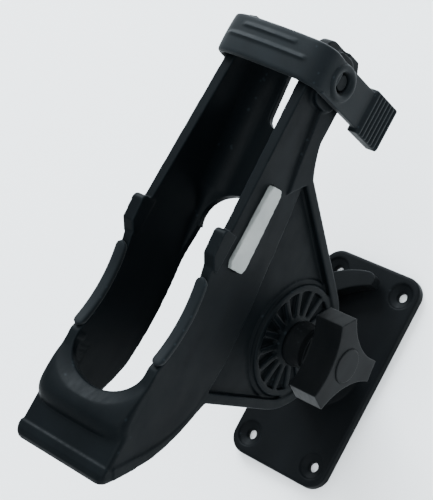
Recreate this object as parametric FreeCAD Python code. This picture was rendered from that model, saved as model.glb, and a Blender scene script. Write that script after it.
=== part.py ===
import FreeCAD, Part
import math
import os

# Fishing rod holder: a deck plate with a swivel post, and a tilting cradle clamped to it by a knob.
# Millimetres.  X runs along the tilt axis towards the knob, Y along the cradle towards the rod tip
# and Z up.  The origin is the centre of the plate's underside.

# ---- mounting plate and socket
PLATE_WIDTH = 56.0
PLATE_LENGTH = 109.0
PLATE_THICK = 5.0
PLATE_CORNER_R = 9.0
HOLE_SPACING_X = 38.1
HOLE_SPACING_Y = 88.9
HOLE_R = 2.75
COUNTERSINK_R = 6.2
COUNTERSINK_DEPTH = 2.1
SOCKET_R = 17.0
SOCKET_TOP_Z = 30.0
BUSH_OUTER_R = 14.0
SOCKET_FLOOR_Z = 6.0

# ---- swivel post
POST_R = 12.0
RUNNING_GAP = 0.06
GROOVE_R = 10.0
GROOVE_Z = (9.0, 14.2)
COLLAR_Z = (SOCKET_TOP_Z + 0.3, SOCKET_TOP_Z + 3.3)
PIVOT_Y = -1.8
PIVOT_Z = 72.0
HEAD_R = 26.0
HEAD_HALF_WIDTH = 12.0
TOOTH_COUNT = 16
TOOTH_WIDTH = 3.0
TOOTH_PHASE = 11.25
TOOTH_HEIGHT = 0.8
BOLT_R = 4.0
BOLT_HEAD_FLATS = 13.0
BOLT_HEAD_THICK = 5.3
BOLT_END_X = 45.0

# ---- lock lever
LEVER_PIN = (-22.0, 25.0)
LEVER_Z = (8.2, 15.2)
LEVER_PIN_R = 2.5
FINGER_TIP_R = 10.4

# ---- cradle, side view
RIM_Z = 149.5
TOP_END_Y = 106.0
NOSE_END_Y = -86.0
WALL_FOOT = ((8.0, 113.5), (68.0, 122.5), (TOP_END_Y, 124.5))
PANEL_LINE = (5.5, 116.9)
BELLY_LOW = (-20.0, 110.3)
BELLY_END = (-44.0, 111.9)
BOW_MIDDLE = (-57.0, 117.8)
BOW_TOP = (-68.5, 127.4)
DIP_START_Y = 2.0
DIP_END_Y = -42.0
DIP_DEPTH = 4.3
FLOOR_START = (21.0, 118.5)
FLOOR_SLOPE = 0.136
FLOOR_THICK = 3.5
HOOD_TOP = (-69.0, 154.0)
HOOD_FOOT_Y = -74.3
HOOD_THICK = 3.6
APRON_Z = 148.4

# ---- cradle, half widths at the rim and inside: (y, half width)
OUTER_PLAN = ((-92.0, 25.2), (19.0, 24.0), (112.0, 21.4))
INNER_PLAN = ((-80.0, 19.7), (18.0, 19.7), (112.0, 15.9))
DRAFT = 1.7
REEL_OPENING_HALF = 17.0
REEL_OPENING_END_Y = 25.0
THROAT_Y = -44.0
THROAT_HALF = (19.5, 14.0)

# ---- side web that carries the pivot
WEB_X = (15.6, 19.8)
LIP_FACE_X = 23.5
VERTEX = (-2.2, 75.2)
VERTEX_R = 31.8
LIP_WIDTH = 4.6
EDGE_LEFT = (0.24, -0.971)
EDGE_RIGHT = (0.481, 0.877)
RING_R = 25.3
RING_STEP_R = 27.4
RING_BORE_R = 22.4
HUB_R = 9.6
HUB_FACE_X = 23.6
BUSH_R = 6.0

# ---- strap
STRAP_Y = (85.0, 103.0)
HINGE_PIN_X = -23.2
HINGE_PIN_Z = 143.5
HINGE_PIN_R = 1.3
TAB_X = (25.0, 28.4)
TAB_Y = (81.8, 101.8)
GRIP_X = (23.6, 29.8)
GRIP_Z = (93.5, 116.0)
STUD_Y = 92.6
STUD_Z = 137.6
STUD_R = 3.2
BOSS_Y = (80.2, 104.0)
BOSS_Z = (128.5, 145.0)

# ---- knob
KNOB_BACK_X = 37.0
KNOB_FRONT_X = 51.0
KNOB_NECK_R = 9.0
LOBE_COUNT = 3
LOBE_TIP_R = 20.5
LOBE_HALF_WIDTH = 4.8
LOBE_ROOT_R = 10.4
LOBE_ANGLE = 42.0

V = FreeCAD.Vector


def save(name, shape):
    shape.exportStep("parts/" + name + ".step")


def cyl_x(y, z, r, x0, x1):
    return Part.makeCylinder(r, x1 - x0, V(x0, y, z), V(1, 0, 0))


def cyl_y(x, z, r, y0, y1):
    return Part.makeCylinder(r, y1 - y0, V(x, y0, z), V(0, 1, 0))


def cyl_z(x, y, r, z0, z1):
    return Part.makeCylinder(r, z1 - z0, V(x, y, z0), V(0, 0, 1))


def box(x0, x1, y0, y1, z0, z1):
    return Part.makeBox(x1 - x0, y1 - y0, z1 - z0, V(x0, y0, z0))


def outline(steps, place):
    """Closed wire.  A step is a point, or a pair of points (arc middle, arc end)."""
    edges = []
    first = steps[0]
    here = first
    for step in list(steps[1:]) + [first]:
        if isinstance(step[0], tuple):
            middle, end = step
            edges.append(Part.Arc(place(here), place(middle), place(end)).toShape())
        else:
            end = step
            if place(here).distanceToPoint(place(end)) > 1e-6:
                edges.append(Part.LineSegment(place(here), place(end)).toShape())
        here = end
    return Part.Wire(edges)


def slab_x(steps, x0, x1):
    """Side-view outline (y, z) pushed through from x0 to x1."""
    wire = outline(steps, lambda p: V(x0, p[0], p[1]))
    return Part.Face(wire).extrude(V(x1 - x0, 0, 0))


def slab_y(steps, y0, y1):
    """End-view outline (x, z) pushed through from y0 to y1."""
    wire = outline(steps, lambda p: V(p[0], y0, p[1]))
    return Part.Face(wire).extrude(V(0, y1 - y0, 0))


def slab_z(steps, z0, z1):
    """Plan outline (x, y) pushed up from z0 to z1."""
    wire = outline(steps, lambda p: V(p[0], p[1], z0))
    return Part.Face(wire).extrude(V(0, 0, z1 - z0))


def joined(solids):
    return solids[0].multiFuse(solids[1:]).removeSplitter()


def plan_points(plan, extra=0.0):
    right = [(w + extra, y) for y, w in plan]
    left = [(-w - extra, y) for y, w in reversed(plan)]
    return right + left


def hexagon(across_flats):
    corner = across_flats / math.sqrt(3)
    angles = [math.radians(60 * i) for i in range(6)]
    return [(corner * math.cos(a), corner * math.sin(a)) for a in angles]


def radial_ribs(r0, r1, width, x0, x1, count, phase=0.0):
    """Straight ribs that fan out from the tilt axis."""
    ribs = []
    for i in range(count):
        rib = box(x0, x1, r0, r1, -width / 2, width / 2)
        rib.rotate(V(0, 0, 0), V(1, 0, 0), phase + 360.0 * i / count)
        rib.translate(V(0, PIVOT_Y, PIVOT_Z))
        ribs.append(rib)
    return ribs


# ---------------------------------------------------------------- mounting plate

def mount_base():
    w, l, r = PLATE_WIDTH / 2, PLATE_LENGTH / 2, PLATE_CORNER_R
    plate = box(-w, w, -l, l, 0, PLATE_THICK)
    upright = [e for e in plate.Edges if abs(e.tangentAt(e.FirstParameter).z) > 0.9]
    plate = plate.makeFillet(r, upright)
    top_rim = [e for e in plate.Edges if e.BoundBox.ZMin > PLATE_THICK - 0.01]
    plate = plate.makeFillet(1.2, top_rim)
    socket = cyl_z(0, 0, SOCKET_R, PLATE_THICK - 1, SOCKET_TOP_Z)
    foot = Part.makeCone(SOCKET_R + 3, SOCKET_R, 4.0, V(0, 0, PLATE_THICK - 0.5), V(0, 0, 1))
    boss = cyl_z(LEVER_PIN[0], LEVER_PIN[1], 6.0, PLATE_THICK - 1, LEVER_Z[0] - 0.2)
    base = joined([plate, socket, foot, boss])
    base = base.cut(cyl_z(0, 0, BUSH_OUTER_R, SOCKET_FLOOR_Z, SOCKET_TOP_Z + 1))
    base = base.cut(lever_window())
    base = base.cut(cyl_z(LEVER_PIN[0], LEVER_PIN[1], LEVER_PIN_R, 2.5, 20))
    for sx in (-1, 1):
        for sy in (-1, 1):
            x, y = sx * HOLE_SPACING_X / 2, sy * HOLE_SPACING_Y / 2
            base = base.cut(cyl_z(x, y, HOLE_R, -1, PLATE_THICK + 1))
            base = base.cut(cyl_z(x, y, COUNTERSINK_R, PLATE_THICK - 0.7, PLATE_THICK + 1))
            base = base.cut(Part.makeCone(HOLE_R, COUNTERSINK_R, COUNTERSINK_DEPTH - 0.7,
                                          V(x, y, PLATE_THICK - COUNTERSINK_DEPTH), V(0, 0, 1)))
    return base


def lever_window():
    """Sector of the socket wall that is open for the lever's finger and its swing."""
    reach = 26.0
    corners = [(0.0, 0.0)]
    for degrees in (84, 115, 146):
        a = math.radians(degrees)
        corners.append((reach * math.cos(a), reach * math.sin(a)))
    return slab_z(corners, LEVER_Z[0] + 0.4, LEVER_Z[1] - 0.4)


def socket_bush():
    bush = cyl_z(0, 0, BUSH_OUTER_R, SOCKET_FLOOR_Z, SOCKET_TOP_Z)
    bush = bush.cut(cyl_z(0, 0, POST_R + RUNNING_GAP, SOCKET_FLOOR_Z - 1, SOCKET_TOP_Z + 1))
    return bush.cut(lever_window())


# ---------------------------------------------------------------- lock lever

def lock_lever():
    px, py = LEVER_PIN
    arm = slab_z([(-25.0, 30.2), ((-9.8, 43.4), (3.2, 47.9)), ((7.6, 46.4), (8.0, 42.0)),
                  ((-6.6, 33.6), (-17.8, 20.7))], *LEVER_Z)
    hub = cyl_z(px, py, 6.0, *LEVER_Z)
    fold = math.hypot(px, py)
    fx, fy = -px / fold, -py / fold
    length = fold - FINGER_TIP_R
    finger = slab_z([(px - fy * 2.6, py + fx * 2.6), (px + fy * 2.6, py - fx * 2.6),
                     (px + fx * (length - 1) + fy * 2.2, py + fy * (length - 1) - fx * 2.2),
                     ((px + fx * length, py + fy * length),
                      (px + fx * (length - 1) - fy * 2.2, py + fy * (length - 1) + fx * 2.2))],
                    GROOVE_Z[0] + 0.6, GROOVE_Z[1] - 0.6)
    lever = joined([arm, hub, finger])
    return lever.cut(cyl_z(px, py, LEVER_PIN_R + RUNNING_GAP, LEVER_Z[0] - 1, LEVER_Z[1] + 3))


def lever_pin():
    x, y = LEVER_PIN
    shank = cyl_z(x, y, LEVER_PIN_R, 2.5, LEVER_Z[1] + 1.6)
    head = Part.makeCone(4.2, 3.4, 1.4, V(x, y, LEVER_Z[1] + 1.4), V(0, 0, 1))
    return joined([shank, head])


def lever_washer():
    x, y = LEVER_PIN
    ring = cyl_z(x, y, 5.2, LEVER_Z[1] + 0.4, LEVER_Z[1] + 1.4)
    return ring.cut(cyl_z(x, y, LEVER_PIN_R, LEVER_Z[1], LEVER_Z[1] + 3))


# ---------------------------------------------------------------- swivel post

def swivel_post():
    journal = cyl_z(0, 0, POST_R, SOCKET_FLOOR_Z + 0.2, COLLAR_Z[0] + 0.5)
    collar = cyl_z(0, 0, SOCKET_R - 1, *COLLAR_Z)
    neck = cyl_z(0, 0, POST_R - 0.6, COLLAR_Z[1] - 0.5, PIVOT_Z - 10)
    shoulder_z = COLLAR_Z[1]
    wide = 15.0
    gusset = slab_x([(-wide, shoulder_z), (wide, shoulder_z),
                     (PIVOT_Y + HEAD_R - 3, PIVOT_Z - 10), (PIVOT_Y - HEAD_R + 3, PIVOT_Z - 10)],
                    -HEAD_HALF_WIDTH + 4, HEAD_HALF_WIDTH - 4)
    head = cyl_x(PIVOT_Y, PIVOT_Z, HEAD_R, -HEAD_HALF_WIDTH, HEAD_HALF_WIDTH)
    post = joined([journal, collar, neck, gusset, head])
    groove = cyl_z(0, 0, POST_R + 1, *GROOVE_Z).cut(cyl_z(0, 0, GROOVE_R, *GROOVE_Z))
    post = post.cut(groove)
    for side in (-1, 1):
        faces = sorted((side * HEAD_HALF_WIDTH, side * (HEAD_HALF_WIDTH - TOOTH_HEIGHT)))
        recess = cyl_x(PIVOT_Y, PIVOT_Z, RING_BORE_R, *faces)
        recess = recess.cut(cyl_x(PIVOT_Y, PIVOT_Z, HUB_R, *faces))
        post = post.cut(recess)
        post = joined([post] + radial_ribs(HUB_R - 0.5, RING_BORE_R + 0.5, TOOTH_WIDTH, faces[0],
                                           faces[1], TOOTH_COUNT))
    post = post.cut(cyl_x(PIVOT_Y, PIVOT_Z, BOLT_R, -HEAD_HALF_WIDTH - 1, HEAD_HALF_WIDTH + 1))
    return post.cut(bolt_head(BOLT_HEAD_THICK + 1))


def bolt_head(thick):
    steps = [(y + PIVOT_Y, z + PIVOT_Z) for y, z in hexagon(BOLT_HEAD_FLATS)]
    seat_x = -HEAD_HALF_WIDTH + BOLT_HEAD_THICK + 0.2
    return slab_x(steps, seat_x - thick, seat_x)


def clamp_bolt():
    seat_x = -HEAD_HALF_WIDTH + BOLT_HEAD_THICK + 0.2
    shank = cyl_x(PIVOT_Y, PIVOT_Z, BOLT_R, seat_x - 1, BOLT_END_X)
    tip = [e for e in shank.Edges if e.BoundBox.XMin > BOLT_END_X - 0.01]
    head = bolt_head(BOLT_HEAD_THICK)
    low_x = head.BoundBox.XMin
    crown = Part.makeCone(BOLT_HEAD_FLATS / 2, BOLT_HEAD_FLATS / 2 + 12, 12 * math.tan(math.pi / 6),
                          V(low_x, PIVOT_Y, PIVOT_Z), V(1, 0, 0))
    return joined([shank.makeChamfer(0.8, tip), head.common(crown)])


# ---------------------------------------------------------------- cradle

def drafted_envelope():
    """The cradle's outer plan shape, a little narrower at the bottom than at the rim."""
    low = outline(plan_points(OUTER_PLAN, -DRAFT), lambda p: V(p[0], p[1], 100.0))
    high = outline(plan_points(OUTER_PLAN, 0.2), lambda p: V(p[0], p[1], 156.0))
    return Part.makeLoft([low, high], True, True)


def side_walls():
    profile = slab_x([(TOP_END_Y, RIM_Z - 6), (TOP_END_Y, WALL_FOOT[2][1] + 3),
                      (TOP_END_Y - 3, WALL_FOOT[2][1]), WALL_FOOT[1], WALL_FOOT[0],
                      (BELLY_LOW, BELLY_END), (BOW_MIDDLE, BOW_TOP),
                      (NOSE_END_Y, 145.0), (NOSE_END_Y, APRON_Z), (HOOD_FOOT_Y, APRON_Z),
                      (HOOD_FOOT_Y, RIM_Z), (DIP_END_Y, RIM_Z),
                      ((-20.0, RIM_Z - DIP_DEPTH), (DIP_START_Y, RIM_Z)),
                      (TOP_END_Y - 6, RIM_Z), ((TOP_END_Y - 1.76, RIM_Z - 1.76),
                                               (TOP_END_Y, RIM_Z - 6))], -30, 30)
    hollow = slab_z(plan_points(INNER_PLAN), 90, 170)
    return profile.common(drafted_envelope()).cut(hollow)


def trough_floor():
    start_y, start_z = FLOOR_START
    end_z = start_z + FLOOR_SLOPE * (TOP_END_Y - start_y)
    floor = slab_x([(start_y, start_z - FLOOR_THICK), (TOP_END_Y, end_z - FLOOR_THICK),
                    (TOP_END_Y, end_z), (start_y, start_z)], -30, 30)
    floor = floor.common(drafted_envelope())
    opening = Part.Face(Part.Wire(Part.Ellipse(V(0, REEL_OPENING_END_Y, 0), REEL_OPENING_HALF,
                                               13.5).toShape())).extrude(V(0, 0, 200))
    slot = box(-5.2, 4.2, 74, 97, 90, 160)
    for y in (74, 97):
        slot = slot.fuse(cyl_z(-0.5, y, 4.7, 90, 160))
    return floor.cut(opening).cut(slot)


def hood():
    """Cover over the lower end, with the rising top, the step down to the apron and the throat."""
    y0, z0 = DIP_END_Y, RIM_Z - 1.5
    ty, tz = HOOD_TOP
    skin = slab_x([(y0, z0 - HOOD_THICK), (y0, z0), (ty, tz), ((ty - 4.2, tz - 1.6),
                   (HOOD_FOOT_Y, APRON_Z)), (NOSE_END_Y + 1, APRON_Z), (NOSE_END_Y + 1, 144.0),
                   (HOOD_FOOT_Y - 3, 144.0), (HOOD_FOOT_Y + 6, 144.6)], -30, 30)
    skin = skin.common(drafted_envelope())
    throat = Part.Face(Part.Wire(Part.Ellipse(V(0, THROAT_Y, 0), *THROAT_HALF).toShape()))
    throat = throat.extrude(V(0, 0, 200))
    return skin.cut(throat).cut(box(-THROAT_HALF[0], THROAT_HALF[0], THROAT_Y, 0, 100, 200))


def end_lip():
    return slab_x([(-83.5, 149.0), (-88.5, 148.4), ((-90.0, 146.8), (-89.4, 144.6)),
                   (-86.5, 141.0), (-83.0, 143.5)], -25.4, 25.4)


def ears():
    profile = [(18.5, RIM_Z - 3), (18.5, RIM_Z + 2.4), ((17.6, RIM_Z + 4.2), (15.5, RIM_Z + 4.7)),
               (7.0, RIM_Z + 3.8), (2.5, RIM_Z - 0.5), (2.5, RIM_Z - 3)]
    return [slab_x(profile, 19.4, 25.2), slab_x(profile, -25.2, -19.4)]


def tangent_point(direction, radius, side):
    """Point on the web's lower arc where an edge with this direction leaves it."""
    dy, dz = direction
    return (VERTEX[0] + side * abs(dz) * radius, VERTEX[1] - abs(dy) * radius)


def along(point, direction, distance):
    return (point[0] + direction[0] * distance, point[1] + direction[1] * distance)


def web_steps(radius):
    """Outline of the web below the left wall line, down round the pivot and up again."""
    left = tangent_point(EDGE_LEFT, radius, -1)
    right = tangent_point(EDGE_RIGHT, radius, 1)
    return left, ((VERTEX[0], VERTEX[1] - radius), right), right


def pivot_web():
    left, bottom_arc, right = web_steps(VERTEX_R)
    left_top = along(left, EDGE_LEFT, -(109.4 - left[1]) / 0.971)
    right_top = along(right, EDGE_RIGHT, (116.5 - right[1]) / 0.877)
    rim = slab_x([(NOSE_END_Y - 0.5, 142.5), ((-72.5, 126.2), (-58.6, 116.2)), left_top, left,
                  bottom_arc, right_top, ((63.3, 121.0), (70.0, 124.0)),
                  (TOP_END_Y - 3.5, 124.5), (TOP_END_Y, 127.5), (TOP_END_Y, 136.0),
                  (78.3, 134.6), (57.3, 130.4), PANEL_LINE, ((-21, 111.5), (-43.4, 113.6)),
                  ((-55.8, 120.2), (-67.0, 129.6)), (-84.0, 146.5)],
                 WEB_X[1], LIP_FACE_X)
    inner_left, inner_arc, inner_right = web_steps(VERTEX_R - LIP_WIDTH)
    pocket_left = along(inner_left, EDGE_LEFT, -(111.0 - inner_left[1]) / 0.971)
    pocket_right = along(inner_right, EDGE_RIGHT, (119.0 - inner_right[1]) / 0.877)
    pocket = slab_x([pocket_left, inner_left, inner_arc, pocket_right, (44.0, 128.5),
                     (PANEL_LINE[0], PANEL_LINE[1] + 1.5), ((-17.0, 113.0), (-38.0, 114.6))],
                    WEB_X[1], LIP_FACE_X + 1)
    web = slab_x([left_top, left, bottom_arc, right_top, (68.0, 122.5), (66.0, 125.0),
                  (8.0, 117.0), ((-18.0, 113.0), (-41.0, 114.0))], WEB_X[0], WEB_X[1] + 0.5)
    return [rim.cut(pocket), web]


def pivot_ring():
    """Raised ribbed discs on both faces of the web, round the bolt."""
    rib_floor = WEB_X[1] + 0.6
    step = cyl_x(PIVOT_Y, PIVOT_Z, RING_STEP_R, WEB_X[1] - 0.5, WEB_X[1] + 1.3)
    ring = cyl_x(PIVOT_Y, PIVOT_Z, RING_R, WEB_X[1], WEB_X[1] + 2.8)
    outer = joined([step, ring])
    outer = outer.cut(cyl_x(PIVOT_Y, PIVOT_Z, RING_BORE_R, rib_floor, LIP_FACE_X + 2))
    hub = Part.makeCone(HUB_R + 3.0, HUB_R - 0.2, HUB_FACE_X - rib_floor,
                        V(rib_floor, PIVOT_Y, PIVOT_Z), V(1, 0, 0))
    ribs = radial_ribs(HUB_R - 1.2, RING_BORE_R + 0.5, TOOTH_WIDTH, rib_floor - 0.2,
                       WEB_X[1] + 2.3, TOOTH_COUNT, TOOTH_PHASE)
    inner_face = HEAD_HALF_WIDTH + 0.3
    inner = cyl_x(PIVOT_Y, PIVOT_Z, RING_STEP_R, inner_face + TOOTH_HEIGHT, WEB_X[0] + 0.5)
    inner_ribs = radial_ribs(HUB_R, RING_BORE_R, TOOTH_WIDTH, inner_face,
                             inner_face + TOOTH_HEIGHT + 0.2, TOOTH_COUNT, TOOTH_PHASE)
    return [outer, hub, inner] + ribs + inner_ribs


def strap_fittings():
    """Lugs for the strap's hinge pin on the left wall, and the stud's boss on the right wall."""
    parts = []
    for y0, y1 in ((STRAP_Y[0] - 3.6, STRAP_Y[0] - 0.4), (STRAP_Y[1] + 0.4, TOP_END_Y)):
        parts.append(slab_y([(-19.5, 134.0), (-22.5, 137.5), (HINGE_PIN_X - 2.2, HINGE_PIN_Z - 2),
                             ((HINGE_PIN_X - 1.6, HINGE_PIN_Z + 1.8),
                              (HINGE_PIN_X + 1.2, HINGE_PIN_Z + 2.6)), (-19.5, 147.0)], y0, y1))
    y0, y1 = BOSS_Y
    z0, z1 = BOSS_Z
    boss = box(19.0, TAB_X[0] - 0.5, y0, y1, z0, z1)
    corners = [e for e in boss.Edges if abs(e.tangentAt(e.FirstParameter).x) > 0.9]
    parts.append(boss.makeFillet(6.0, corners))
    return parts


def cradle_body():
    parts = [side_walls(), trough_floor(), hood(), end_lip()] + ears() + pivot_web() + pivot_ring()
    body = joined(parts + strap_fittings())
    body = body.cut(cyl_x(PIVOT_Y, PIVOT_Z, BUSH_R, 10, 30))
    loop_room = HINGE_PIN_R + 1.8 + 0.5
    body = body.cut(cyl_y(HINGE_PIN_X, HINGE_PIN_Z, loop_room, STRAP_Y[0] - 0.4, STRAP_Y[1] + 0.4))
    body = body.cut(cyl_y(HINGE_PIN_X, HINGE_PIN_Z, HINGE_PIN_R, 70, 120))
    body = body.cut(cyl_x(STUD_Y, STUD_Z, STUD_R, 20.5, 30))
    return body.cut(badge(0.0))


def badge(gap):
    """Slanted plate let into the right wall."""
    wall_x = 22.2
    return slab_x([(7.5 + gap, 132.0 + gap), (10.0 + gap, 131.0 + gap), (42.0 - gap, 133.2 + gap),
                   (44.2 - gap, 134.8 + gap), (43.6 - gap, 140.4 - gap),
                   (41.0 - gap, 141.0 - gap), (9.5 + gap, 141.6 - gap), (6.9 + gap, 140.0 - gap)],
                  wall_x, wall_x + 3.0)


def hub_bush():
    bush = cyl_x(PIVOT_Y, PIVOT_Z, BUSH_R, HEAD_HALF_WIDTH + 0.4, HUB_FACE_X)
    return bush.cut(cyl_x(PIVOT_Y, PIVOT_Z, BOLT_R + RUNNING_GAP, 0, 40))


def rim_pad(side):
    dip = RIM_Z - DIP_DEPTH
    band = slab_x([(DIP_START_Y, RIM_Z), ((-20.0, dip), (DIP_END_Y, RIM_Z)),
                   (DIP_END_Y, RIM_Z + 2.2), ((-20.0, dip + 2.2), (DIP_START_Y, RIM_Z + 2.2))],
                  19.8, 24.9)
    pad = band.common(box(0, 40, DIP_END_Y + 2, DIP_START_Y - 3.5, 100, 200))
    if side < 0:
        pad = pad.mirror(V(0, 0, 0), V(1, 0, 0))
    return pad


# ---------------------------------------------------------------- strap

def locking_strap():
    loop_r = HINGE_PIN_R + 1.8
    under = RIM_Z + 0.4
    outer = HINGE_PIN_X - loop_r
    steps = [(outer, HINGE_PIN_Z), (outer, 149.5), ((outer + 1.4, 153.0), (-20.5, 154.6)),
             ((0.0, 156.4), (21.0, 153.8)), ((26.2, 151.6), (TAB_X[1], 146.0)), (TAB_X[0], 146.0),
             (TAB_X[0], 148.2), (TAB_X[0] - 2, under), (-22.3, under), (-22.6, HINGE_PIN_Z + 1.5),
             (HINGE_PIN_X + loop_r, HINGE_PIN_Z),
             ((HINGE_PIN_X, HINGE_PIN_Z - loop_r), (outer, HINGE_PIN_Z))]
    strap = slab_y(steps, *STRAP_Y)
    return strap.cut(cyl_y(HINGE_PIN_X, HINGE_PIN_Z, HINGE_PIN_R + RUNNING_GAP, 70, 120))


def strap_pull_tab():
    y0, y1 = TAB_Y
    neck = box(TAB_X[0], TAB_X[1], y0 + 1.6, y1 - 1.6, GRIP_Z[1] - 1, 146.0)
    grip = slab_y([(GRIP_X[0], GRIP_Z[0]), (GRIP_X[1], GRIP_Z[0]), (GRIP_X[1], GRIP_Z[1] - 2),
                   (GRIP_X[1] - 1.5, GRIP_Z[1]), (GRIP_X[0], GRIP_Z[1])], y0, y1)
    tab = joined([neck, grip])
    return tab.cut(cyl_x(STUD_Y, STUD_Z, STUD_R + 0.9, 20, 40))


def strap_hinge_pin():
    return cyl_y(HINGE_PIN_X, HINGE_PIN_Z, HINGE_PIN_R, STRAP_Y[0] - 3.4, TOP_END_Y - 0.2)


def strap_stud():
    return cyl_x(STUD_Y, STUD_Z, STUD_R, 20.5, TAB_X[1] - 0.4)


# ---------------------------------------------------------------- knob

def knob_outline():
    """Three lobes with flat tips and hollow flanks between them."""
    steps = []
    for i in range(LOBE_COUNT):
        a = math.radians(LOBE_ANGLE + 360.0 * i / LOBE_COUNT)
        b = a + math.pi / LOBE_COUNT
        for side in (-1, 1):
            y = LOBE_TIP_R * math.cos(a) - side * LOBE_HALF_WIDTH * math.sin(a)
            z = LOBE_TIP_R * math.sin(a) + side * LOBE_HALF_WIDTH * math.cos(a)
            if side < 0 and steps:
                hollow = steps.pop()
                steps.append((hollow, (y + PIVOT_Y, z + PIVOT_Z)))
            else:
                steps.append((y + PIVOT_Y, z + PIVOT_Z))
        steps.append((LOBE_ROOT_R * math.cos(b) + PIVOT_Y, LOBE_ROOT_R * math.sin(b) + PIVOT_Z))
    last_hollow = steps.pop()
    steps.append((last_hollow, steps[0]))
    return steps


def knob_body():
    head = slab_x(knob_outline(), KNOB_BACK_X, KNOB_FRONT_X)
    neck = cyl_x(PIVOT_Y, PIVOT_Z, KNOB_NECK_R, HUB_FACE_X + 1.8, KNOB_BACK_X + 1)
    flare = Part.makeCone(KNOB_NECK_R, KNOB_NECK_R + 3.5, 5.0, V(KNOB_BACK_X - 5, PIVOT_Y, PIVOT_Z),
                          V(1, 0, 0))
    knob = joined([head, neck, flare])
    knob = knob.cut(cyl_x(PIVOT_Y, PIVOT_Z, 6.5, HUB_FACE_X + 1, BOLT_END_X + 1.5))
    return knob.cut(cyl_x(PIVOT_Y, PIVOT_Z, 7.6, KNOB_FRONT_X - 1.6, KNOB_FRONT_X + 1))


def knob_insert():
    insert = cyl_x(PIVOT_Y, PIVOT_Z, 6.5, HUB_FACE_X + 1.8, BOLT_END_X + 1.5)
    return insert.cut(cyl_x(PIVOT_Y, PIVOT_Z, BOLT_R + RUNNING_GAP, 20, BOLT_END_X + 0.4))


def knob_cap():
    cap = cyl_x(PIVOT_Y, PIVOT_Z, 7.6, KNOB_FRONT_X - 1.6, KNOB_FRONT_X + 0.5)
    rim = [e for e in cap.Edges if e.BoundBox.XMin > KNOB_FRONT_X + 0.4]
    return cap.makeFillet(0.4, rim)


def knob_washer():
    washer = cyl_x(PIVOT_Y, PIVOT_Z, 8.4, HUB_FACE_X + 0.2, HUB_FACE_X + 1.8)
    return washer.cut(cyl_x(PIVOT_Y, PIVOT_Z, BOLT_R + RUNNING_GAP, 20, 40))


os.makedirs("parts", exist_ok=True)
save("mount_base", mount_base())
save("socket_bush", socket_bush())
save("lock_lever", lock_lever())
save("lever_pin", lever_pin())
save("lever_washer", lever_washer())
save("swivel_post", swivel_post())
save("clamp_bolt", clamp_bolt())
save("cradle_body", cradle_body())
save("hub_bush", hub_bush())
save("side_badge", badge(0.15))
save("left_rim_pad", rim_pad(-1))
save("right_rim_pad", rim_pad(1))
save("locking_strap", locking_strap())
save("strap_pull_tab", strap_pull_tab())
save("strap_hinge_pin", strap_hinge_pin())
save("strap_stud", strap_stud())
save("knob_body", knob_body())
save("knob_insert", knob_insert())
save("knob_cap", knob_cap())
save("knob_washer", knob_washer())
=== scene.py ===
import bmesh
import bpy
import math
from mathutils import Matrix, Vector


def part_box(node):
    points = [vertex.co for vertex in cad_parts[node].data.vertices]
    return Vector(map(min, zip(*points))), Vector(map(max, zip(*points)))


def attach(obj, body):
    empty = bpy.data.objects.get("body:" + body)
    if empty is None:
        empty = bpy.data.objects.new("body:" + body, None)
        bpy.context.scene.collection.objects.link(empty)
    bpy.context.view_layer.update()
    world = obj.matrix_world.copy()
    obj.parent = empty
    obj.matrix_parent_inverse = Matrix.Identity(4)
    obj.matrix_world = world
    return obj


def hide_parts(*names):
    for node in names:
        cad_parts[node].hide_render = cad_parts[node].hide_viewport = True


# Rod holder: black moulded nylon cradle, post and deck plate, rubber strap, three-lobed knob.
# Sizes in this script are millimetres in the part's own frame; MM turns them into metres.

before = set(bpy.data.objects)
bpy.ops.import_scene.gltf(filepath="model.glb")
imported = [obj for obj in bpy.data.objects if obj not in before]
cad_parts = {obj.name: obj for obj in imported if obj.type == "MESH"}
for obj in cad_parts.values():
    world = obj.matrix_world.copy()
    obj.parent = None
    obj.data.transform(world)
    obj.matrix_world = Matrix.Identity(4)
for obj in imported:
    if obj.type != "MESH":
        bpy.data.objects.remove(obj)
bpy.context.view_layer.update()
MM = 0.001

CAMERA_AT = (361.5, -48.3, 593.8)
CAMERA_RIGHT = Vector((0.728, 0.474, -0.495))
CAMERA_LOOK = Vector((-0.604, 0.104, -0.79))
LENS = 105.3
FLOOR_SIZE = 8.0


def span(node):
    """A CAD node's lowest and highest corners, in millimetres."""
    low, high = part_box(node)
    return low / MM, high / MM


# ---------------------------------------------------------------- camera, light and floor

def make_camera():
    """Camera with a given place, right-hand direction and line of sight."""
    data = bpy.data.cameras.new("camera")
    data.sensor_fit = "AUTO"
    data.sensor_width = 36.0
    data.lens = LENS
    data.clip_start = 0.05
    data.clip_end = 50.0
    camera = bpy.data.objects.new("camera", data)
    bpy.context.scene.collection.objects.link(camera)
    back = -CAMERA_LOOK.normalized()
    right = CAMERA_RIGHT.normalized()
    up = back.cross(right).normalized()
    right = up.cross(back).normalized()
    turn = Matrix((right, up, back)).transposed().to_4x4()
    camera.matrix_world = Matrix.Translation(Vector(CAMERA_AT) * MM) @ turn
    bpy.context.scene.camera = camera


def area_light(name, place, target, size, watts, colour):
    data = bpy.data.lights.new(name, "AREA")
    data.shape = "RECTANGLE"
    data.size, data.size_y = size
    data.energy = watts
    data.color = colour
    light = bpy.data.objects.new(name, data)
    bpy.context.scene.collection.objects.link(light)
    aim = (Vector(target) - Vector(place)).to_track_quat("-Z", "Y").to_matrix().to_4x4()
    light.matrix_world = Matrix.Translation(Vector(place)) @ aim


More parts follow.
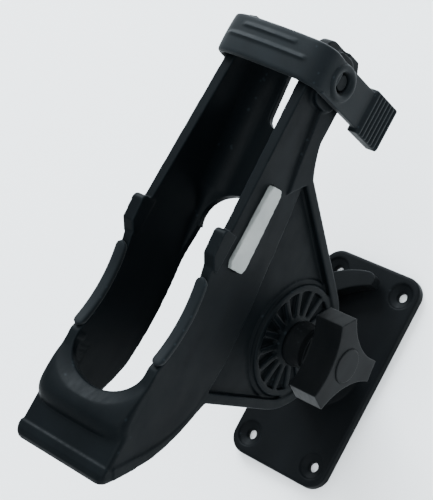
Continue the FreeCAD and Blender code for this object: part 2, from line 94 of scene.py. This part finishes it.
def make_studio():
    world = bpy.data.worlds.new("studio")
    bpy.context.scene.world = world
    world.use_nodes = True
    background = world.node_tree.nodes["Background"]
    background.inputs["Color"].default_value = (0.90, 0.96, 1.0, 1.0)
    background.inputs["Strength"].default_value = 1.40
    area_light("key", (-1.15, 1.35, 1.1), (0, 0, 0.08), (1.2, 1.2), 105.0, (0.84, 0.93, 1.0))
    area_light("fill", (0.9, -1.4, 1.2), (0, 0, 0.08), (1.0, 1.0), 16.0, (0.86, 0.94, 1.0))
    area_light("overhead", (0.2, 0.2, 2.4), (0, 0, 0), (2.4, 2.4), 76.0, (0.90, 0.96, 1.0))


def make_floor():
    mesh = bpy.data.meshes.new("floor")
    half = FLOOR_SIZE / 2
    corners = [(-half, -half, 0), (half, -half, 0), (half, half, 0), (-half, half, 0)]
    mesh.from_pydata(corners, [], [(0, 1, 2, 3)])
    floor = bpy.data.objects.new("floor", mesh)
    bpy.context.scene.collection.objects.link(floor)
    material = bpy.data.materials.new("floor_paper")
    material.use_nodes = True
    shader = material.node_tree.nodes["Principled BSDF"]
    shader.inputs["Base Color"].default_value = (0.95, 0.95, 0.95, 1)
    shader.inputs["Roughness"].default_value = 0.85
    mesh.materials.append(material)


# ---------------------------------------------------------------- materials

PLASTIC_SHINE = 0.032
RUBBER_SHINE = 0.05


class Nodes:
    """A short way to build a node tree round a Principled BSDF."""

    def __init__(self, name):
        self.material = bpy.data.materials.new(name)
        self.material.use_nodes = True
        self.tree = self.material.node_tree
        self.shader = self.tree.nodes["Principled BSDF"]
        coordinates = self.tree.nodes.new("ShaderNodeTexCoord")
        self.place = coordinates.outputs["Object"]

    def link(self, output, target):
        self.tree.links.new(output, target)

    def noise(self, scale, detail=3.0, rough=0.55, stretch=None):
        node = self.tree.nodes.new("ShaderNodeTexNoise")
        node.inputs["Scale"].default_value = scale
        node.inputs["Detail"].default_value = detail
        node.inputs["Roughness"].default_value = rough
        source = self.place
        if stretch:
            mapping = self.tree.nodes.new("ShaderNodeMapping")
            mapping.inputs["Scale"].default_value = stretch
            self.link(self.place, mapping.inputs["Vector"])
            source = mapping.outputs["Vector"]
        self.link(source, node.inputs["Vector"])
        return node.outputs["Fac"]

    def ramp(self, factor, low, high, start, end):
        node = self.tree.nodes.new("ShaderNodeValToRGB")
        node.color_ramp.elements[0].position = start
        node.color_ramp.elements[1].position = end
        node.color_ramp.elements[0].color = (*low, 1)
        node.color_ramp.elements[1].color = (*high, 1)
        self.link(factor, node.inputs["Fac"])
        return node.outputs["Color"]

    def remap(self, factor, low, high, start=0.3, end=0.7):
        node = self.tree.nodes.new("ShaderNodeMapRange")
        node.inputs["From Min"].default_value = start
        node.inputs["From Max"].default_value = end
        node.inputs["To Min"].default_value = low
        node.inputs["To Max"].default_value = high
        self.link(factor, node.inputs["Value"])
        return node.outputs["Result"]

    def mix(self, factor, base, colour):
        """The base, turning to one plain colour as factor goes from 0 to 1."""
        node = self.tree.nodes.new("ShaderNodeMix")
        node.data_type = "RGBA"
        self.link(factor, node.inputs["Factor"])
        self.link(base, node.inputs["A"])
        node.inputs["B"].default_value = (*colour, 1)
        return node.outputs["Result"]

    def sum(self, a, b, share):
        """a plus a share of b."""
        node = self.tree.nodes.new("ShaderNodeMath")
        node.operation = "MULTIPLY_ADD"
        self.link(b, node.inputs[0])
        node.inputs[1].default_value = share
        self.link(a, node.inputs[2])
        return node.outputs["Value"]

    def edges(self, low, high):
        """Near 1 on outward edges; lightening colour there paints a highlight along the edges."""
        geometry = self.tree.nodes.new("ShaderNodeNewGeometry")
        return self.remap(geometry.outputs["Pointiness"], 0.0, 1.0, low, high)

    def bump(self, height, strength, distance):
        node = self.tree.nodes.new("ShaderNodeBump")
        node.inputs["Strength"].default_value = strength
        node.inputs["Distance"].default_value = distance
        self.link(height, node.inputs["Height"])
        self.link(node.outputs["Normal"], self.shader.inputs["Normal"])


def moulded_plastic(name, dark, light, rough_middle, grain=1.0):
    """Black nylon: faint flow marks, spark-eroded grain, scuffs, edges polished by handling (lower
    roughness) and lightened in colour as a painted highlight.
    """
    n = Nodes(name)
    flow = n.noise(38.0, 2.0, stretch=(1.0, 0.45, 1.0))
    grit = n.noise(2600.0, 2.0)
    pores = n.noise(900.0, 4.0, 0.7)
    scuffs = n.noise(160.0, 5.0, 0.65, stretch=(2.6, 0.5, 1.0))
    base = n.ramp(flow, dark, light, 0.32, 0.70)
    base = n.mix(n.remap(pores, 0.0, 0.35, 0.52, 0.72), base, tuple(1.2 * c for c in light))
    edge_polish_and_highlight = n.edges(0.515, 0.60)
    # Convex edges lightened in colour: a painted highlight; the roughness drop below is the real polish.
    base = n.mix(edge_polish_and_highlight, base, tuple(2.1 * c for c in light))
    n.link(base, n.shader.inputs["Base Color"])
    rough = n.remap(scuffs, rough_middle - 0.05, rough_middle + 0.09, 0.35, 0.68)
    rough = n.sum(rough, edge_polish_and_highlight, -0.10)
    n.link(rough, n.shader.inputs["Roughness"])
    n.shader.inputs["Specular IOR Level"].default_value = PLASTIC_SHINE
    n.shader.inputs["IOR"].default_value = 1.5
    n.bump(n.sum(grit, pores, 0.8), 0.22 * grain, 0.00006)
    return n.material


def moulded_rubber(name, dark, light):
    """Dull black rubber with bloom, fine pits and a soft sheen."""
    n = Nodes(name)
    bloom = n.noise(70.0, 4.0, 0.6)
    pits = n.noise(1500.0, 4.0, 0.7)
    base = n.ramp(bloom, dark, light, 0.30, 0.72)
    # Convex edges lightened in colour: a painted highlight.
    base = n.mix(n.edges(0.51, 0.60), base, tuple(1.9 * c for c in light))
    n.link(base, n.shader.inputs["Base Color"])
    n.link(n.remap(bloom, 0.44, 0.62), n.shader.inputs["Roughness"])
    n.shader.inputs["Specular IOR Level"].default_value = RUBBER_SHINE
    n.shader.inputs["Sheen Weight"].default_value = 0.03
    n.shader.inputs["Sheen Roughness"].default_value = 0.5
    n.bump(pits, 0.30, 0.00008)
    return n.material


def turned_metal(name, dark, light, rough, axis):
    """Turned metal: fine rings across the axis and small tarnish marks."""
    n = Nodes(name)
    stretch = [1.0, 1.0, 1.0]
    stretch[axis] = 40.0
    rings = n.noise(160.0, 3.0, 0.6, stretch=tuple(stretch))
    tarnish = n.noise(300.0, 4.0, 0.6)
    n.link(n.ramp(tarnish, dark, light, 0.25, 0.62), n.shader.inputs["Base Color"])
    n.shader.inputs["Metallic"].default_value = 1.0
    n.link(n.remap(rings, rough - 0.08, rough + 0.12), n.shader.inputs["Roughness"])
    n.bump(rings, 0.25, 0.00003)
    return n.material


def pale_plastic(name, dark, light, rough):
    """Pale moulding: soft clouding, fine grit and edges lightened as a painted highlight."""
    n = Nodes(name)
    clouds = n.noise(90.0, 3.0)
    grit = n.noise(1800.0, 3.0)
    base = n.ramp(clouds, dark, light, 0.3, 0.7)
    base = n.mix(n.edges(0.52, 0.62), base, tuple(min(1.0, 1.15 * c) for c in light))
    n.link(base, n.shader.inputs["Base Color"])
    n.link(n.remap(clouds, rough, rough + 0.12), n.shader.inputs["Roughness"])
    n.bump(grit, 0.2, 0.00005)
    return n.material


# ---------------------------------------------------------------- mesh helpers

WELD = 0.0005


def solid_box(bm, low, high):
    x0, y0, z0 = low
    x1, y1, z1 = high
    turn = Matrix.Translation(((x0 + x1) / 2, (y0 + y1) / 2, (z0 + z1) / 2))
    size = Matrix.Diagonal((x1 - x0, y1 - y0, z1 - z0, 1))
    bmesh.ops.create_cube(bm, size=1.0, matrix=turn @ size)


def solid_cylinder(bm, centre, axis, radius, length, sides=64):
    """Cylinder that starts at centre and runs along axis."""
    turn = Vector((0, 0, 1)).rotation_difference(Vector(axis)).to_matrix().to_4x4()
    middle = Vector(centre) + Vector(axis) * length / 2
    bmesh.ops.create_cone(bm, cap_ends=True, segments=sides, radius1=radius, radius2=radius,
                          depth=length, matrix=Matrix.Translation(middle) @ turn)


def swept(bm, rings):
    """Closed skin over rings of points that all have the same count, with flat ends."""
    loops = [[bm.verts.new(p) for p in ring] for ring in rings]
    count = len(loops[0])
    for a, b in zip(loops, loops[1:]):
        for i in range(count):
            j = (i + 1) % count
            bm.faces.new((a[i], a[j], b[j], b[i]))
    bm.faces.new(list(reversed(loops[0])))
    bm.faces.new(loops[-1])


def closed_sweep(bm, rings):
    """Skin over a closed loop of rings, such as a torus."""
    loops = [[bm.verts.new(p) for p in ring] for ring in rings]
    count = len(loops[0])
    for a, b in zip(loops, loops[1:] + loops[:1]):
        for i in range(count):
            j = (i + 1) % count
            bm.faces.new((a[i], a[j], b[j], b[i]))


def smooth_path(points, steps=8):
    """Catmull-Rom curve through a few points."""
    path = []
    extended = [2 * points[0] - points[1]] + points + [2 * points[-1] - points[-2]]
    for a, b, c, d in zip(extended, extended[1:], extended[2:], extended[3:]):
        for i in range(steps):
            t = i / steps
            path.append(0.5 * ((2 * b) + (c - a) * t + (2 * a - 5 * b + 4 * c - d) * t * t
                               + (3 * b - a - 3 * c + d) * t ** 3))
    path.append(points[-1])
    return path


def new_piece(name, bm):
    """An object made from a bmesh in millimetres."""
    bmesh.ops.recalc_face_normals(bm, faces=bm.faces)
    bmesh.ops.scale(bm, vec=(MM, MM, MM), verts=bm.verts)
    mesh = bpy.data.meshes.new(name)
    bm.to_mesh(mesh)
    bm.free()
    piece = bpy.data.objects.new(name, mesh)
    bpy.context.scene.collection.objects.link(piece)
    return piece


def in_millimetres(mesh):
    """A bmesh copy of a mesh, in millimetres."""
    bm = bmesh.new()
    bm.from_mesh(mesh)
    bmesh.ops.scale(bm, vec=(1 / MM, 1 / MM, 1 / MM), verts=bm.verts)
    return bm


def start_from(node):
    """A bmesh in millimetres with a copy of a CAD node's skin."""
    bm = in_millimetres(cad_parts[node].data)
    bmesh.ops.remove_doubles(bm, verts=bm.verts, dist=WELD)
    return bm


def reopened(piece):
    """A piece turned back into a bmesh in millimetres, to be built on."""
    bm = in_millimetres(piece.data)
    bpy.data.objects.remove(piece)
    return bm


def baked(piece):
    """Apply the piece's modifiers."""
    depsgraph = bpy.context.evaluated_depsgraph_get()
    mesh = bpy.data.meshes.new_from_object(piece.evaluated_get(depsgraph))
    old = piece.data
    piece.modifiers.clear()
    piece.data = mesh
    bpy.data.meshes.remove(old)


def cut_away(piece, cutter_bm):
    """Take the cutter's space out of the piece."""
    cutter = new_piece("cutter", cutter_bm)
    boolean = piece.modifiers.new("cut", "BOOLEAN")
    boolean.operation = "DIFFERENCE"
    boolean.solver = "EXACT"
    boolean.object = cutter
    baked(piece)
    bpy.data.objects.remove(cutter)


def soften(piece, voxel, rounds):
    """Melt the piece into one skin and round its edges as a mould does."""
    remesh = piece.modifiers.new("remesh", "REMESH")
    remesh.mode = "VOXEL"
    remesh.voxel_size = voxel * MM
    smooth = piece.modifiers.new("smooth", "SMOOTH")
    smooth.factor = 0.5
    smooth.iterations = rounds
    baked(piece)
    for polygon in piece.data.polygons:
        polygon.use_smooth = True


def finished(piece, body, material, node):
    """Give the piece its material and its body, and hide the CAD node it stands for."""
    piece.data.materials.clear()
    piece.data.materials.append(material)
    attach(piece, body)
    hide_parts(node)


# ---------------------------------------------------------------- cradle

THROAT_Y = -44.0
THROAT = (19.7, 14.0)
COLLAR_CREST = (24.5, 19.5)
COLLAR_FOOT = (27.6, 29.8)
FOOT_SQUARENESS = 5.0
THROAT_EDGE_Z = 149.4
COLLAR_SIDE_Z = 149.6
COLLAR_FRONT_Z = 153.8
SHELF_Z = 148.3
SHELL = 3.6
HOOD_END_Y = -86.0
WALL_INNER = 19.75
WALL_CUT_Z = 139.0
WALL_HALF = 25.2
WALL_HALF_Y = -92.0
WALL_TAPER = 1.2
WALL_TAPER_RUN = 111.0
WALL_DRAFT = 1.9
WALL_DRAFT_FROM_Z = 100.0
WALL_DRAFT_RUN = 56.0
OUTLINE_Z = 148.0
CREST_SQUARENESS = 2.3
CREST_LIFT = 0.5
FAIRED_Y = (-70.0, -40.0)
FAIRED_Z = (135.0, 146.8)


def blend(low, high, share):
    """Smooth step from low to high as share goes from 0 to 1."""
    share = min(1.0, max(0.0, share))
    return low + (high - low) * share * share * (3 - 2 * share)


def reach_of(radii, angle, power=2.0):
    """Distance from the middle to an ellipse, or to a squarer oval for a higher power."""
    a, b = radii
    c, d = abs(math.cos(angle)) / a, abs(math.sin(angle)) / b
    return (c ** power + d ** power) ** (-1.0 / power)


def wall_half(y, z):
    """Half width over the walls' drafted outer faces."""
    rim = WALL_HALF - WALL_TAPER * (y - WALL_HALF_Y) / WALL_TAPER_RUN
    return rim - 1.7 + WALL_DRAFT * (z - WALL_DRAFT_FROM_Z) / WALL_DRAFT_RUN


def bow_z(y):
    """Height of the bow's underside beyond the hood."""
    return 127.4 + 1.006 * (-68.5 - y)


def collar_plane(y):
    """The collar rises towards the end as the hood does."""
    return min(COLLAR_FRONT_Z, max(COLLAR_SIDE_Z, 148.0 + 0.222 * (-42.0 - y)))


def hood_height(x, y):
    """Top surface of the collar round the throat and the shelf beyond it."""
    dy = THROAT_Y - y
    reach = math.hypot(x, dy)
    angle = math.atan2(dy, abs(x))
    inner = reach_of(THROAT, angle)
    crest = reach_of(COLLAR_CREST, angle, CREST_SQUARENESS)
    foot = reach_of(COLLAR_FOOT, angle, FOOT_SQUARENESS)
    if reach < crest:
        crest_z = collar_plane(THROAT_Y - crest * math.sin(angle)) + CREST_LIFT * math.sin(angle)
        share = max(0.0, (reach - inner) / (crest - inner))
        height = THROAT_EDGE_Z + (crest_z - THROAT_EDGE_Z) * share ** 0.85
    else:
        share = min(1.0, (reach - crest) / (foot - crest))
        plane_z = collar_plane(y) + CREST_LIFT * math.sin(angle)
        height = SHELF_Z + (plane_z - SHELF_Z) * (1 - share ** 2.4) ** 0.7
    wide = blend(1.0, 1.8, (-52.0 - y) / 10.0)
    deep = min(wide, 0.75 * (SHELF_Z - bow_z(y)))
    over = max(0.0, abs(x) - (wall_half(y, OUTLINE_Z) - wide)) / wide
    return height - deep * (1 - math.sqrt(max(0.0, 1 - over * over)))


def hood_bottom(x, y, top):
    """Underside of the shell over the trough, or the top of the cut wall beside it."""
    if abs(x) < WALL_INNER:
        return top - SHELL
    return min(top - 1.0, max(WALL_CUT_Z - 1.0, bow_z(y) + 0.4))


def collar_and_shelf(bm):
    """Closed skin over the hood, laid out in rays from the middle of the throat."""
    rays = 96
    stations = 40
    level = 1e-6
    far = 1e6
    side_guess = 24.6
    top_rows, bottom_rows = [], []
    for i in range(rays + 1):
        angle = math.pi * i / rays
        c, d = math.cos(angle), math.sin(angle)
        start = reach_of(THROAT, angle)
        to_end = (THROAT_Y - HOOD_END_Y) / d if d > level else far
        to_side = side_guess / abs(c) if abs(c) > level else far
        for _ in range(3):
            y = THROAT_Y - to_side * d
            side = wall_half(max(y, HOOD_END_Y), OUTLINE_Z)
            to_side = side / abs(c) if abs(c) > level else far
        end = min(to_end, to_side)
        tops, bottoms = [], []
        for k in range(stations + 1):
            reach = start + (end - start) * k / stations
            x, y = reach * c, THROAT_Y - reach * d
            top = hood_height(x, y)
            tops.append(bm.verts.new((x, y, top)))
            low = hood_bottom(x, y, top)
            narrow = wall_half(y, low) / wall_half(y, OUTLINE_Z)
            bottoms.append(bm.verts.new((x * narrow if k == stations else x, y, low)))
        top_rows.append(tops)
        bottom_rows.append(bottoms)
    for i in range(rays):
        for k in range(stations):
            a, b = top_rows[i], top_rows[i + 1]
            bm.faces.new((a[k], a[k + 1], b[k + 1], b[k]))
            a, b = bottom_rows[i], bottom_rows[i + 1]
            bm.faces.new((b[k], b[k + 1], a[k + 1], a[k]))
        for k in (0, stations):
            bm.faces.new((top_rows[i][k], top_rows[i + 1][k], bottom_rows[i + 1][k],
                          bottom_rows[i][k]))
    for i in (0, rays):
        for k in range(stations):
            bm.faces.new((top_rows[i][k], top_rows[i][k + 1], bottom_rows[i][k + 1],
                          bottom_rows[i][k]))


def end_flange(bm):
    """Rolled lip across the end, with round corners in plan."""
    root_y = -83.0
    corner = 3.2
    foot_z = 141.2
    section = [(root_y, 149.0), (-86.5, 149.1), (-88.6, 148.2), (-89.9, 146.6), (-89.4, 144.4),
               (-86.9, 141.4), (-85.0, foot_z), (root_y, 143.0)]
    rings = []
    half = WALL_HALF
    steps = 60
    for i in range(steps + 1):
        x = -half + 2 * half * i / steps
        inside = max(0.0, abs(x) - (half - corner)) / corner
        pull = 1 - 0.42 * (1 - math.sqrt(max(0.0, 1 - inside * inside)))
        ring = []
        for y, z in section:
            ring.append((x, root_y + (y - root_y) * pull, z - 0.25 * (1 - pull) * (z - foot_z)))
        rings.append(ring)
    swept(bm, rings)


def bow_flange(bm):
    """Low raised edge along the underside of the bow, wide at the corner and fading out."""
    foot = [Vector((0, -86.0, 141.9)), Vector((0, -80.0, 134.6)), Vector((0, -72.5, 126.4)),
            Vector((0, -66.0, 121.2)), Vector((0, -58.6, 116.6)), Vector((0, -50.0, 113.0)),
            Vector((0, -42.0, 111.2))]
    path = smooth_path(foot, 6)
    for side in (-1, 1):
        rings = []
        for i, point in enumerate(path):
            ahead = path[min(i + 1, len(path) - 1)] - path[max(i - 1, 0)]
            across = Vector((0, -ahead.z, ahead.y)).normalized()
            height = blend(5.4, 1.6, i / (len(path) - 1))
            proud = blend(0.75, 0.1, i / (len(path) - 1) * 1.2 - 0.2)
            ring = []
            for out, up in ((-3.0, 0.0), (proud, 0.0), (proud, height), (-3.0, height)):
                spot = point + across * up
                ring.append((side * (wall_half(spot.y, spot.z) + out), spot.y, spot.z))
            rings.append(ring)
        swept(bm, rings)


def corner_fillets(bm):
    """Round the corners between the trough's floor and its walls, clear of the reel opening."""
    first_y = 3.0
    full_size = 9.5
    opening_half = 17.0
    bite = 1.5
    for side in (-1, 1):
        rings = []
        for i in range(52):
            y = first_y + 2.0 * i
            half = 19.7 - 3.8 * max(0.0, y - 18.0) / 94.0
            floor = 118.5 + 0.136 * (y - 21.0)
            from_end = max(0.0, min(1.0, (y - 25.0) / 13.5))
            size = min(full_size, half - opening_half * math.sqrt(1 - from_end * from_end))
            size *= blend(0.1, 1.0, (y - first_y) / 20.0)
            ring = [(side * (half + bite), y, floor - 3.3), (side * (half - size), y, floor - 3.3)]
            for k in range(11):
                angle = math.pi / 2 * k / 10
                ring.append((side * (half - size + size * math.sin(angle)), y,
                             floor + size - size * math.cos(angle)))
            ring.append((side * (half + bite), y, floor + size))
            rings.append(ring)
        swept(bm, rings)


def fair_walls(piece):
    """Take out the faint step where the hood's skin meets the wall's outer face."""
    skin = 0.7
    fade = 1.5
    for vertex in piece.data.vertices:
        x, y, z = vertex.co / MM
        room = min(y - FAIRED_Y[0], FAIRED_Y[1] - y, z - FAIRED_Z[0], FAIRED_Z[1] - z)
        if room <= 0.0:
            continue
        face = wall_half(y, z)
        if abs(x) < face - skin:
            continue
        share = blend(0.0, 1.0, room / fade)
        vertex.co.x = (x + (math.copysign(face, x) - x) * share) * MM


def make_cradle(material):
    """The CAD skin with its hood cut off and made again finer, then melted into one moulding."""
    piece = new_piece("cradle", start_from("cradle_body"))
    room = bmesh.new()
    solid_box(room, (-30, -95.0, WALL_CUT_Z), (30, THROAT_Y - 0.2, 170))
    cut_away(piece, room)
    bm = reopened(piece)
    collar_and_shelf(bm)
    end_flange(bm)
    bow_flange(bm)
    corner_fillets(bm)
    piece = new_piece("cradle", bm)
    soften(piece, 0.42, 4)
    fair_walls(piece)
    finished(piece, "cradle", material, "cradle_body")


def make_pad(node, side, material):
    """Rubber strip bedded in a dip of the rim, with full round ends."""
    low, high = span(node)
    length = high.y - low.y
    pad_x = 22.3
    pad_half = 2.75
    pad_thick = 1.5
    rings = []
    count = 40
    for i in range(count + 1):
        along = 0.02 + (length - 0.04) * i / count
        y = low.y + along
        share = (y + 20.0) / 22.0
        dip = 145.2 + 4.3 * share * share
        room = min(along, length - along)
        close = math.sqrt(max(0.02, 1 - max(0.0, 1 - room / 2.7) ** 2))
        half = pad_half * close
        thick = pad_thick * (0.55 + 0.45 * close)
        ring = []
        for k in range(20):
            turn = 2 * math.pi * k / 20
            c, d = math.cos(turn), math.sin(turn)
            px = half * math.copysign(abs(c) ** 0.6, c)
            pz = thick * math.copysign(abs(d) ** 0.6, d)
            ring.append((side * (pad_x + px), y, dip + 0.9 + pz))
        rings.append(ring)
    bm = bmesh.new()
    swept(bm, rings)
    piece = new_piece(node.replace("_rim", ""), bm)
    soften(piece, 0.3, 2)
    finished(piece, "cradle", material, node)


# ---------------------------------------------------------------- strap

STRAP_HALF_WIDTH = 9.0
STRAP_SKEW = -0.035


def strap_section(centre, normal, thick, width, middle_y, ridges):
    """One ring round the strap: rounded edges, and two low ridges on the outer face."""
    ring = []
    corner = min(1.45, thick / 2 - 0.05)
    across = 22
    for i in range(across + 1):
        y = -width + 2 * width * i / across
        edge = max(0.0, abs(y) - (width - corner))
        rise = thick / 2 - corner + math.sqrt(max(0.0, corner * corner - edge * edge))
        crown = 0.35 * (1 - (y / width) ** 2)
        ridge = sum(height * math.exp(-((y - at) / 0.6) ** 2) for at, height in ridges)
        ring.append(centre + normal * (rise + crown + ridge) + Vector((0, middle_y + y, 0)))
    for i in range(across + 1):
        y = width - 2 * width * i / across
        edge = max(0.0, abs(y) - (width - corner))
        rise = thick / 2 - corner + math.sqrt(max(0.0, corner * corner - edge * edge))
        ring.append(centre - normal * rise + Vector((0, middle_y + y, 0)))
    return ring


def ridge_height(x, start, end):
    fade = 2.0
    return 0.95 * min(1.0, max(0.0, (x - start) / fade)) * min(1.0, max(0.0, (end - x) / fade))


def make_strap(material):
    """Rubber strap from its hinge on the left wall, over the trough and down to the eye."""
    low, high = span("locking_strap")
    pin_low, pin_high = span("strap_hinge_pin")
    middle_y = (low.y + high.y) / 2
    pin = Vector(((pin_low.x + pin_high.x) / 2, 0, (pin_low.z + pin_high.z) / 2))
    top = high.z - 1.9
    neck_x = 26.7
    route = [Vector((pin.x - 0.9, 0, pin.z + 0.6)), Vector((pin.x - 1.4, 0, pin.z + 4.6)),
             Vector((-23.2, 0, top - 2.9)), Vector((-18.5, 0, top - 0.8)),
             Vector((-9.0, 0, top)), Vector((3.0, 0, top)), Vector((14.0, 0, top - 0.7)),
             Vector((21.3, 0, top - 1.8)), Vector((25.4, 0, top - 4.8)),
             Vector((neck_x, 0, top - 9.5)), Vector((neck_x, 0, top - 14.0))]
    path = smooth_path(route)
    rings = []
    for i, point in enumerate(path):
        ahead = path[min(i + 1, len(path) - 1)] - path[max(i - 1, 0)]
        normal = Vector((-ahead.z, 0, ahead.x)).normalized()
        x = point.x
        on_top = 1.0 if point.z > top - 4.0 else 0.0
        first = on_top * ridge_height(x, -16.0, 13.0)
        second = on_top * ridge_height(x, -21.6, 20.0)
        end = i / (len(path) - 1)
        width = STRAP_HALF_WIDTH - 0.7 * max(0.0, end - 0.85) / 0.15
        skew = STRAP_SKEW * (x - pin.x)
        rings.append(strap_section(point, normal, 3.2, width, middle_y + skew,
                                   ((4.4, first), (-0.6, second))))
    bm = bmesh.new()
    swept(bm, rings)
    solid_cylinder(bm, (pin.x, low.y + 0.1, pin.z), (0, 1, 0), 3.1, high.y - low.y - 0.2)
    piece = new_piece("strap", bm)
    soften(piece, 0.32, 3)
    finished(piece, "strap", material, "locking_strap")


def make_pull_tab(material):
    """The strap's end: a neck, the eye that goes over the stud, and the ribbed grip."""
    low, high = span("strap_pull_tab")
    stud_low, stud_high = span("strap_stud")
    eye_y = (stud_low.y + stud_high.y) / 2
    eye_z = (stud_low.z + stud_high.z) / 2
    neck = (25.0, 28.3)
    grip_top = 114.2
    grip_foot = low.z + 1.6
    bm = bmesh.new()
    solid_box(bm, (neck[0], low.y + 1.6, grip_top - 3), (neck[1], high.y - 1.6, high.z + 0.5))
    solid_box(bm, (low.x + 0.2, low.y, grip_foot), (high.x - 0.9, high.y, grip_top))
    eye = []
    for i in range(40):
        angle = 2 * math.pi * i / 40
        ring = []
        for j in range(10):
            turn = 2 * math.pi * j / 10
            reach = 6.1 + 1.6 * math.cos(turn)
            ring.append((neck[1] + 0.1 + 1.3 * math.sin(turn), eye_y + reach * math.cos(angle),
                         eye_z + 1.12 * reach * math.sin(angle)))
        eye.append(ring)
    closed_sweep(bm, eye)
    count = 7
    pitch = (grip_top - grip_foot - 2.6) / (count - 1)
    for i in range(count):
        z = grip_foot + 1.3 + pitch * i
        start = (high.x - 0.9, low.y + 0.5, z)
        solid_cylinder(bm, start, (0, 1, 0), 0.95, high.y - low.y - 1.0, sides=20)
    piece = new_piece("pull_tab", bm)
    soften(piece, 0.32, 4)
    hole = bmesh.new()
    solid_cylinder(hole, (20, eye_y, eye_z), (1, 0, 0), 4.5, 14, sides=48)
    cut_away(piece, hole)
    soften(piece, 0.3, 2)
    finished(piece, "strap", material, "strap_pull_tab")


# ---------------------------------------------------------------- the other mouldings

HOLE_X = 19.05
HOLE_Y = 44.45
HOLE_R = 2.35

def remade(node, name, body, material, voxel, rounds):
    """A CAD moulding with its edges rounded."""
    piece = new_piece(name, start_from(node))
    soften(piece, voxel, rounds)
    finished(piece, body, material, node)


def make_deck_plate(material):
    """Mounting plate, with screw holes 0.4 mm smaller in radius than the CAD's."""
    bm = start_from("mount_base")
    wall_r = 3.4
    low, high = 0.1, 2.7
    for sx in (-1, 1):
        for sy in (-1, 1):
            rings = []
            for i in range(48):
                angle = 2 * math.pi * i / 48
                c, d = math.cos(angle), math.sin(angle)
                section = ((HOLE_R, low), (wall_r, low), (wall_r, high), (HOLE_R, high))
                rings.append([(sx * HOLE_X + r * c, sy * HOLE_Y + r * d, z) for r, z in section])
            closed_sweep(bm, rings)
    piece = new_piece("deck_plate", bm)
    soften(piece, 0.42, 3)
    finished(piece, "mount", material, "mount_base")


def make_knob(material):
    """Three-lobed knob with chamfered edges, on a neck that flares to meet the hub."""
    piece = new_piece("knob", start_from("knob_body"))
    bevel = piece.modifiers.new("bevel", "BEVEL")
    bevel.width = 1.3 * MM
    bevel.segments = 1
    bevel.limit_method = "ANGLE"
    bevel.angle_limit = math.radians(40)
    baked(piece)
    bm = reopened(piece)
    low, high = span("clamp_bolt")
    middle = (low + high) / 2
    rings = []
    for i in range(64):
        angle = 2 * math.pi * i / 64
        c, d = math.cos(angle), math.sin(angle)
        section = ((25.5, 8.6), (24.1, 8.7), (24.1, 9.9), (25.2, 10.3), (33.0, 9.2), (33.0, 8.6))
        rings.append([(x, middle.y + r * c, middle.z + r * d) for x, r in section])
    closed_sweep(bm, rings)
    piece = new_piece("knob", bm)
    soften(piece, 0.28, 2)
    finished(piece, "knob", material, "knob_body")


make_camera()
make_studio()
make_floor()

nylon = moulded_plastic("cradle_nylon", (0.0013, 0.0020, 0.0025), (0.0025, 0.0036, 0.0043), 0.44)
base_nylon = moulded_plastic("base_nylon", (0.0019, 0.0024, 0.0028), (0.0034, 0.0041, 0.0047), 0.47, 1.3)
post_nylon = moulded_plastic("post_nylon", (0.0018, 0.0023, 0.0026), (0.0032, 0.0038, 0.0043), 0.47)
lever_nylon = moulded_plastic("lever_nylon", (0.0028, 0.0033, 0.0036), (0.0046, 0.0053, 0.0058), 0.38)
knob_nylon = moulded_plastic("knob_nylon", (0.0026, 0.0030, 0.0033), (0.0044, 0.0050, 0.0054), 0.40, 0.8)
rubber = moulded_rubber("strap_rubber", (0.0024, 0.0036, 0.0044), (0.0042, 0.0060, 0.0072))
pad_rubber = moulded_rubber("pad_rubber", (0.0022, 0.0034, 0.0042), (0.0038, 0.0055, 0.0066))
badge_grey = pale_plastic("badge_grey", (0.15, 0.16, 0.155), (0.21, 0.22, 0.21), 0.40)
acetal = pale_plastic("acetal", (0.52, 0.50, 0.44), (0.64, 0.62, 0.56), 0.35)
steel = turned_metal("steel", (0.42, 0.43, 0.44), (0.66, 0.67, 0.68), 0.28, 2)
bolt_steel = turned_metal("steel_bolt", (0.42, 0.43, 0.44), (0.66, 0.67, 0.68), 0.28, 0)
brass = turned_metal("brass", (0.50, 0.36, 0.14), (0.78, 0.60, 0.28), 0.28, 0)

make_cradle(nylon)
make_strap(rubber)
make_pull_tab(rubber)
make_deck_plate(base_nylon)
remade("swivel_post", "post", "post", post_nylon, 0.42, 3)
remade("lock_lever", "lever", "lever", lever_nylon, 0.32, 5)
make_knob(knob_nylon)
remade("knob_cap", "knob_centre", "knob", knob_nylon, 0.25, 3)
make_pad("left_rim_pad", -1, pad_rubber)
make_pad("right_rim_pad", 1, pad_rubber)
remade("side_badge", "badge", "cradle", badge_grey, 0.3, 3)
remade("strap_stud", "stud", "cradle", nylon, 0.25, 3)

CARRIED = {"socket_bush": acetal, "hub_bush": acetal, "lever_pin": steel, "lever_washer": steel,
           "strap_hinge_pin": steel, "clamp_bolt": bolt_steel, "knob_washer": bolt_steel,
           "knob_insert": brass}
for node, material in CARRIED.items():
    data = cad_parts[node].data
    data.materials.clear()
    data.materials.append(material)

bpy.context.view_layer.update()
